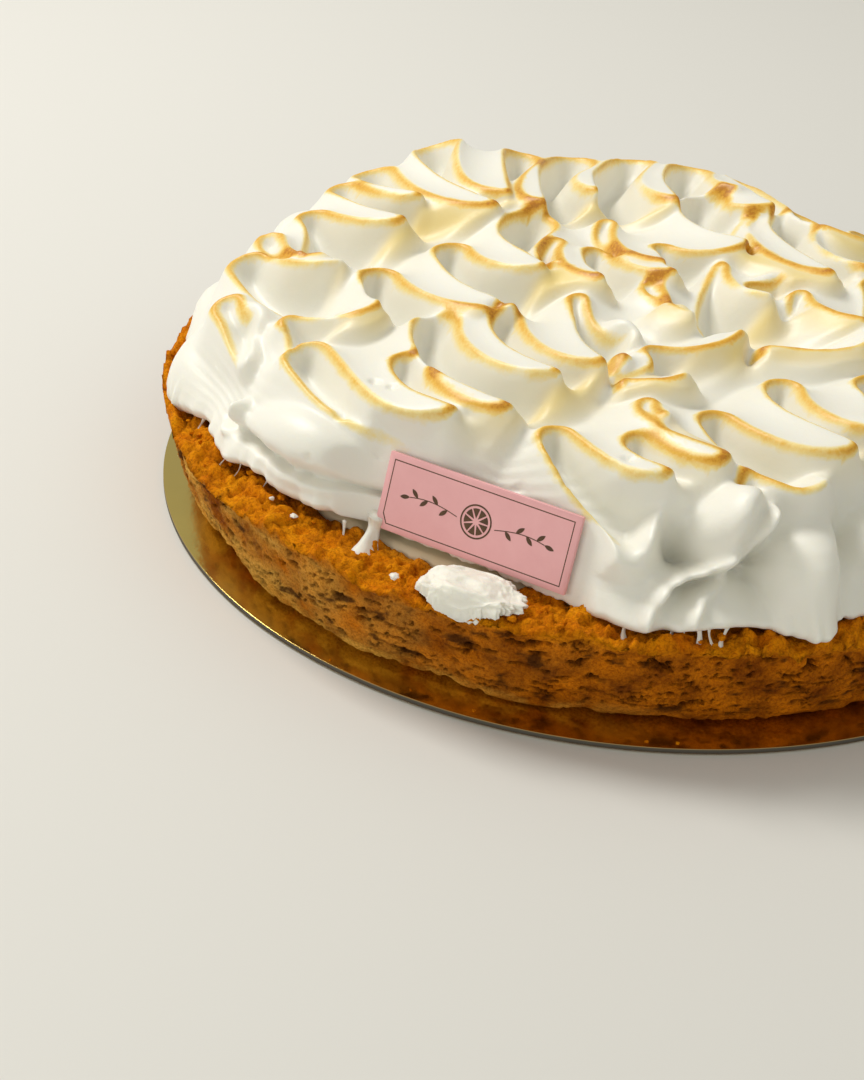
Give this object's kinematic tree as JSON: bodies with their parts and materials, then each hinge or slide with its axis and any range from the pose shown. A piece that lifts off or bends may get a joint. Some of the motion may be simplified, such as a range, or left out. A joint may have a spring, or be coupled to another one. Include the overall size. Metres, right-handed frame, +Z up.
{
  "type": "lemon meringue pie",
  "caption": "Whole round lemon meringue pie: browned biscuit crust, lemon filling, swirled toasted meringue and a small plaque, on a thin gold cake card.",
  "frame": {"origin": "the middle of the cake card's underside", "axes": "+Z up through the middle of the pie, +X to the right and -Y towards the plaque's side, the side it is served from"},
  "size_m": [0.26, 0.2604, 0.066],
  "materials": {
    "card_gold": "gloss",
    "crust_brown": "matte",
    "filling_cream": "satin",
    "meringue_white": "satin",
    "label_pink": "satin"
  },
  "bodies": {
    "root": {"cake_card": "card_gold", "crust": "crust_brown", "filling": "filling_cream", "meringue": "meringue_white", "meringue_dab": "meringue_white", "label": "label_pink"}
  },
  "joints": []
}
